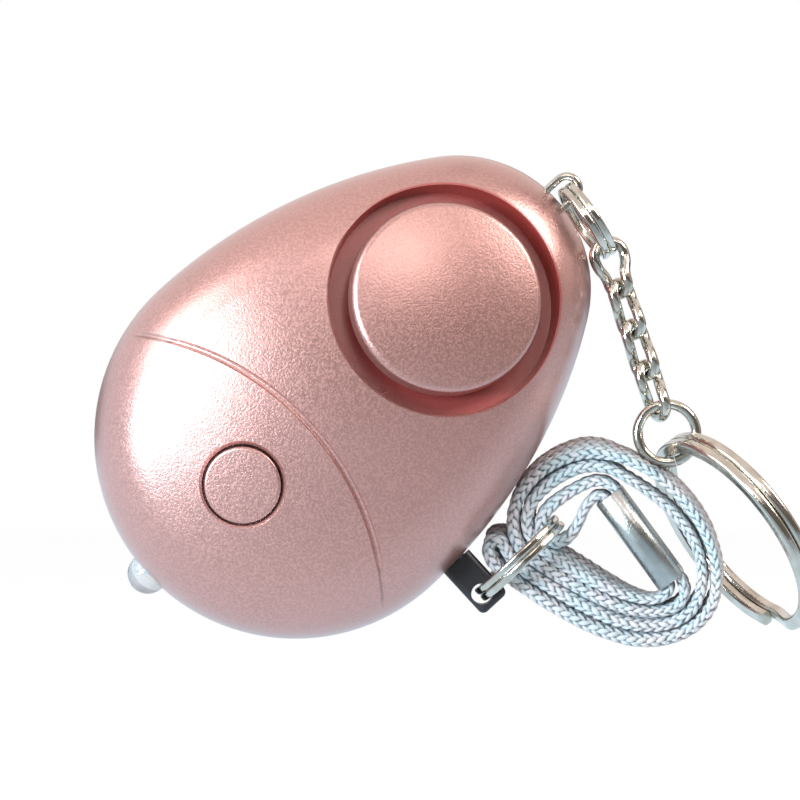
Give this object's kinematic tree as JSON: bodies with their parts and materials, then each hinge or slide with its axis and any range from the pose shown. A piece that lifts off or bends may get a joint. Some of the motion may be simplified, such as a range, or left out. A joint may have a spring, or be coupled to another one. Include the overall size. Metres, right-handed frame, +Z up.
{
  "type": "personal safety alarm",
  "caption": "Egg-shaped pocket alarm: a pull pin sets off its siren, a press light sits at one end, and it carries a chain, a key ring and a rolled wrist strap.",
  "frame": {"origin": "middle of the flat on the egg's back", "axes": "+X to the right and +Z up as the picture shows the alarm; the face looks along -Y, and the flat of the back faces +Y"},
  "size_m": [0.0807, 0.0256, 0.0551],
  "materials": {
    "shell_paint": "satin metallic rose paint on plastic",
    "recess_paint": "satin metallic dark rose paint on plastic",
    "black_plastic": "matt, fine spark-eroded texture",
    "white_plastic": "matt",
    "clear_resin": "water-clear, milky inside",
    "bright_metal": "bright nickel plate",
    "satin_metal": "satin nickel plate",
    "steel": "plain zinc-plated steel",
    "brass": "plain brass",
    "sounder_ceramic": "silvered piezo ceramic",
    "foam": "closed-cell foam",
    "board": "green solder mask",
    "copper": "enamelled copper winding on ferrite",
    "wire_sheath": "soft wire insulation",
    "braid": "flat braided cord, light grey-lilac"
  },
  "bodies": {
    "body": {"front_shell": "shell_paint", "rear_shell": "shell_paint", "speaker_cover": "recess_paint", "siren_wires": "wire_sheath", "tact_switch": "black_plastic", "led_lamp": "clear_resin", "led_leads": "steel", "circuit_board": "board", "board_screws": "steel", "driver_chip": "black_plastic", "step_up_coil": "copper", "transistor": "black_plastic", "capacitor": "satin_metal", "button_cells": "steel", "battery_tray": "black_plastic", "battery_contact_plus": "brass", "battery_contact_minus": "brass", "case_screws": "steel", "pin_bush": "white_plastic", "pin_contact_fixed": "brass", "pin_contact_leaf": "brass", "chain_staple": "bright_metal", "siren_gasket": "foam", "siren_housing": "black_plastic", "piezo_plate": "brass", "piezo_ceramic": "sounder_ceramic"},
    "button": {"light_button": "shell_paint", "switch_plunger": "white_plastic"},
    "pin": {"pull_pin": "black_plastic"},
    "pin_ring": {"pin_split_ring": "bright_metal"},
    "strap": {"wrist_strap": "braid", "strap_ferrule": "satin_metal"},
    "eye_ring": {"eye_split_ring": "bright_metal"},
    "link_1": {"chain_link_1": "bright_metal"},
    "link_2": {"chain_link_2": "bright_metal"},
    "link_3": {"chain_link_3": "bright_metal"},
    "link_4": {"chain_link_4": "bright_metal"},
    "jump_ring": {"jump_ring": "bright_metal"},
    "key_ring": {"key_ring": "bright_metal"}
  },
  "joints": [
    {"name": "button_press", "type": "slide", "parent": "body", "child": "button", "axis": [0, 1, 0], "range_m": [0, 0.0005], "stiffness_N_per_m": 300, "springref_m": -0.001},
    {"name": "pin_pull", "type": "slide", "parent": "body", "child": "pin", "axis": [0.6769, 0, -0.7361], "range_m": [0, 0.007]},
    {"name": "pin_ring_swing", "type": "hinge", "parent": "pin", "child": "pin_ring", "pos_m": [0.0145, -0.011, -0.0232], "axis": [0, 1, 0], "range_deg": [0, 20]},
    {"name": "strap_swing", "type": "hinge", "parent": "pin_ring", "child": "strap", "pos_m": [0.02294, -0.011, -0.01524], "axis": [0, 1, 0], "range_deg": [0, 3]},
    {"name": "eye_ring_swing", "type": "hinge", "parent": "body", "child": "eye_ring", "pos_m": [0.0239, -0.011, 0.02197], "axis": [0, -1, 0], "range_deg": [0, 12]},
    {"name": "link_1_swing", "type": "hinge", "parent": "eye_ring", "child": "link_1", "pos_m": [0.02864, -0.011, 0.0148], "axis": [0, -1, 0], "range_deg": [0, 6]},
    {"name": "link_2_swing", "type": "hinge", "parent": "link_1", "child": "link_2", "pos_m": [0.02992, -0.011, 0.01087], "axis": [0, -1, 0], "range_deg": [0, 6]},
    {"name": "link_3_swing", "type": "hinge", "parent": "link_2", "child": "link_3", "pos_m": [0.0314, -0.011, 0.0063], "axis": [0, -1, 0], "range_deg": [0, 6]},
    {"name": "link_4_swing", "type": "hinge", "parent": "link_3", "child": "link_4", "pos_m": [0.03289, -0.011, 0.00174], "axis": [0, -1, 0], "range_deg": [0, 6]},
    {"name": "jump_ring_swing", "type": "hinge", "parent": "link_4", "child": "jump_ring", "pos_m": [0.03437, -0.011, -0.00284], "axis": [0, -1, 0], "range_deg": [0, 8]},
    {"name": "key_ring_swing", "type": "hinge", "parent": "jump_ring", "child": "key_ring", "pos_m": [0.03611, -0.011, -0.00663], "axis": [0, -1, 0], "range_deg": [0, 12]}
  ]
}
